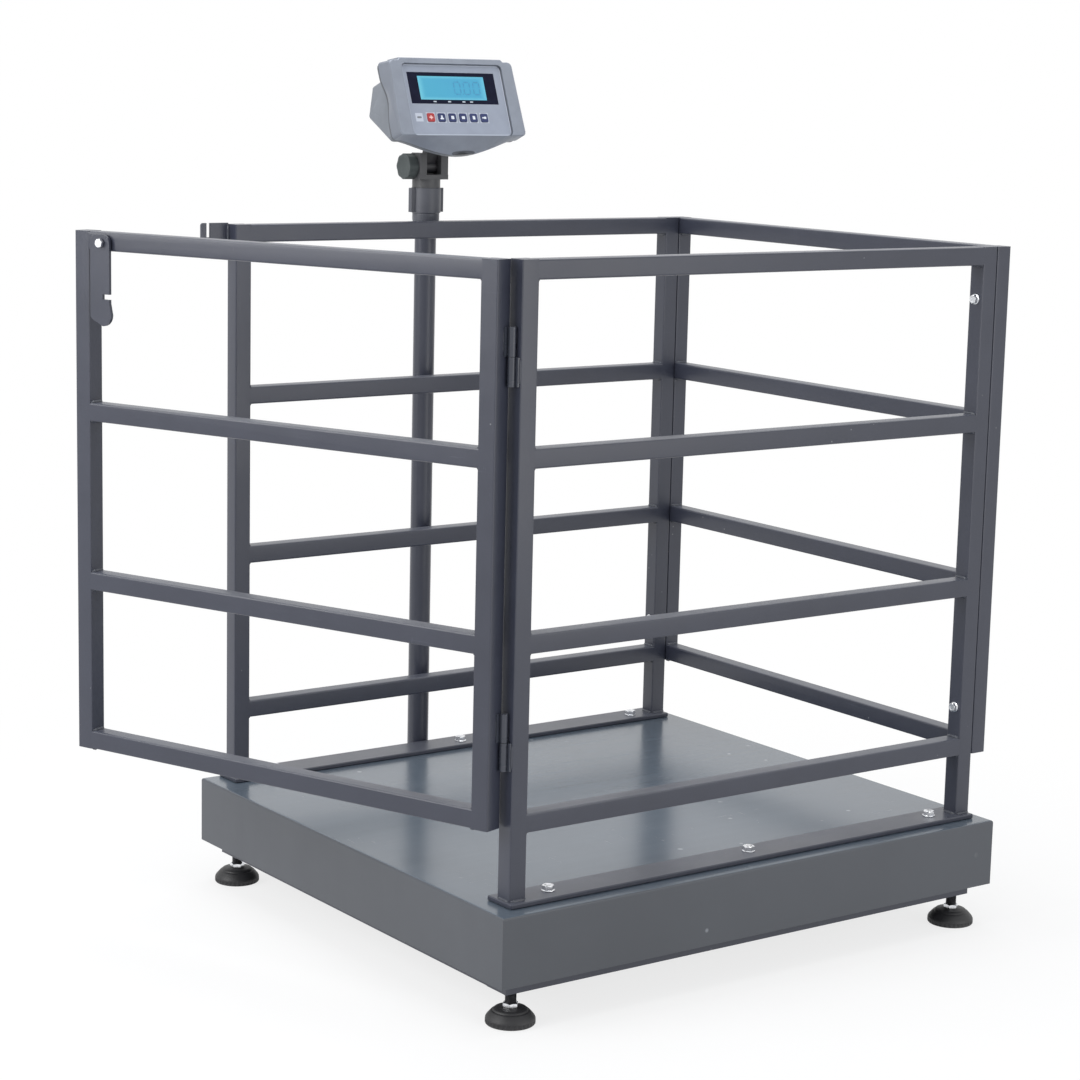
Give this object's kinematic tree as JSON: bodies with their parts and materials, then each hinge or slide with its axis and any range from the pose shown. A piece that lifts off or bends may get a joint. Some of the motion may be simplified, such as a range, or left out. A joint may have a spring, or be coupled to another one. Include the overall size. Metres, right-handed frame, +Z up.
{
  "type": "livestock scale",
  "caption": "Weighing platform on levelling feet with a railed pen, a latched swing gate and a tilting indicator with keys on a pole.",
  "frame": {"origin": "on the floor, at the middle of the outer box with the gate ajar", "axes": "+Z up, +X away from the gate, +Y towards the indicator's pole"},
  "size_m": [1.293, 0.9642, 1.4158],
  "materials": {
    "frame_paint": "slate grey powder coat",
    "deck_paint": "smooth slate grey paint",
    "zinc": "bright zinc plate",
    "cell_alloy": "satin",
    "stud_steel": "blackened thread",
    "black_rubber": "moulded",
    "black_plastic": "moulded black",
    "knob_plastic": "moulded dark grey",
    "shell_plastic": "light blue-grey moulding",
    "panel_film": "satin film",
    "display": "lit blue screen",
    "red_key": "red key cap",
    "navy_key": "navy key cap",
    "board": "green circuit board"
  },
  "bodies": {
    "scale": {"platform_cover": "deck_paint", "base_frame": "frame_paint", "junction_box": "shell_plastic", "side_frame_front": "frame_paint", "side_frame_rear": "frame_paint", "end_frame": "frame_paint", "latch_catch": "frame_paint", "indicator_pole": "frame_paint", "pole_bracket": "frame_paint", "pole_collar": "frame_paint", "load_cell_front_gate_end": "cell_alloy", "load_cell_front_far_end": "cell_alloy", "load_cell_rear_gate_end": "cell_alloy", "load_cell_rear_far_end": "cell_alloy", "front_strip_bolt_1": "zinc", "front_strip_bolt_2": "zinc", "front_strip_bolt_3": "zinc", "front_lower_corner_bolt": "zinc", "front_upper_corner_bolt": "zinc", "rear_strip_bolt_1": "zinc", "rear_strip_bolt_2": "zinc", "rear_strip_bolt_3": "zinc", "rear_lower_corner_bolt": "zinc", "rear_upper_corner_bolt": "zinc", "lower_hinge_post_half": "frame_paint", "upper_hinge_post_half": "frame_paint"},
    "gate": {"gate_frame": "frame_paint", "latch_washer": "black_plastic", "latch_pivot_bolt": "zinc", "lower_hinge_gate_half": "frame_paint", "upper_hinge_gate_half": "frame_paint"},
    "latch": {"latch_lever": "frame_paint"},
    "head": {"swivel_head": "black_plastic", "tilt_spindle": "black_plastic"},
    "knob": {"tilt_knob": "knob_plastic"},
    "indicator": {"tilt_bracket": "black_plastic", "front_shell": "shell_plastic", "rear_shell": "shell_plastic", "keypad_panel": "panel_film", "display_bezel": "black_plastic", "lcd_module": "display", "main_board": "board"},
    "foot_front_gate_end": {"foot_pad_front_gate_end": "black_rubber", "foot_stud_front_gate_end": "stud_steel", "locknut_front_gate_end": "zinc"},
    "foot_front_far_end": {"foot_pad_front_far_end": "black_rubber", "foot_stud_front_far_end": "stud_steel", "locknut_front_far_end": "zinc"},
    "foot_rear_gate_end": {"foot_pad_rear_gate_end": "black_rubber", "foot_stud_rear_gate_end": "stud_steel", "locknut_rear_gate_end": "zinc"},
    "foot_rear_far_end": {"foot_pad_rear_far_end": "black_rubber", "foot_stud_rear_far_end": "stud_steel", "locknut_rear_far_end": "zinc"},
    "power_key": {"power_key": "red_key"},
    "function_key_1": {"function_key_1": "navy_key"},
    "function_key_2": {"function_key_2": "navy_key"},
    "function_key_3": {"function_key_3": "navy_key"},
    "function_key_4": {"function_key_4": "navy_key"},
    "function_key_5": {"function_key_5": "navy_key"}
  },
  "joints": [
    {"name": "gate_swing", "type": "hinge", "parent": "scale", "child": "gate", "pos_m": [-0.33307, -0.4312, 0.681], "axis": [0, 0, 1], "range_deg": [-20.8, 129.2]},
    {"name": "latch_turn", "type": "hinge", "parent": "gate", "child": "latch", "pos_m": [-0.63013, 0.26435, 1.1182], "axis": [0.9348, 0.3551, 0], "continuous": true},
    {"name": "head_swivel", "type": "hinge", "parent": "scale", "child": "head", "pos_m": [0.09973, 0.4559, 1.181], "axis": [0, 0, 1], "range_deg": [-170, 170]},
    {"name": "indicator_tilt", "type": "hinge", "parent": "head", "child": "indicator", "pos_m": [0.09973, 0.4559, 1.2275], "axis": [1, 0, 0], "range_deg": [-30, 20.8]},
    {"name": "knob_turn", "type": "hinge", "parent": "head", "child": "knob", "pos_m": [0.05973, 0.4559, 1.2275], "axis": [-1, 0, 0], "range_deg": [0, 360]},
    {"name": "foot_front_gate_end_height", "type": "slide", "parent": "scale", "child": "foot_front_gate_end", "axis": [0, 0, 1], "range_m": [-0.014, 0.016]},
    {"name": "foot_front_far_end_height", "type": "slide", "parent": "scale", "child": "foot_front_far_end", "axis": [0, 0, 1], "range_m": [-0.014, 0.016]},
    {"name": "foot_rear_gate_end_height", "type": "slide", "parent": "scale", "child": "foot_rear_gate_end", "axis": [0, 0, 1], "range_m": [-0.014, 0.016]},
    {"name": "foot_rear_far_end_height", "type": "slide", "parent": "scale", "child": "foot_rear_far_end", "axis": [0, 0, 1], "range_m": [-0.014, 0.016]},
    {"name": "power_key_press", "type": "slide", "parent": "indicator", "child": "power_key", "axis": [0, 0.9348, -0.3551], "range_m": [0, 0.0015], "stiffness_N_per_m": 1500},
    {"name": "function_key_1_press", "type": "slide", "parent": "indicator", "child": "function_key_1", "axis": [0, 0.9348, -0.3551], "range_m": [0, 0.0015], "stiffness_N_per_m": 1500},
    {"name": "function_key_2_press", "type": "slide", "parent": "indicator", "child": "function_key_2", "axis": [0, 0.9348, -0.3551], "range_m": [0, 0.0015], "stiffness_N_per_m": 1500},
    {"name": "function_key_3_press", "type": "slide", "parent": "indicator", "child": "function_key_3", "axis": [0, 0.9348, -0.3551], "range_m": [0, 0.0015], "stiffness_N_per_m": 1500},
    {"name": "function_key_4_press", "type": "slide", "parent": "indicator", "child": "function_key_4", "axis": [0, 0.9348, -0.3551], "range_m": [0, 0.0015], "stiffness_N_per_m": 1500},
    {"name": "function_key_5_press", "type": "slide", "parent": "indicator", "child": "function_key_5", "axis": [0, 0.9348, -0.3551], "range_m": [0, 0.0015], "stiffness_N_per_m": 1500}
  ]
}
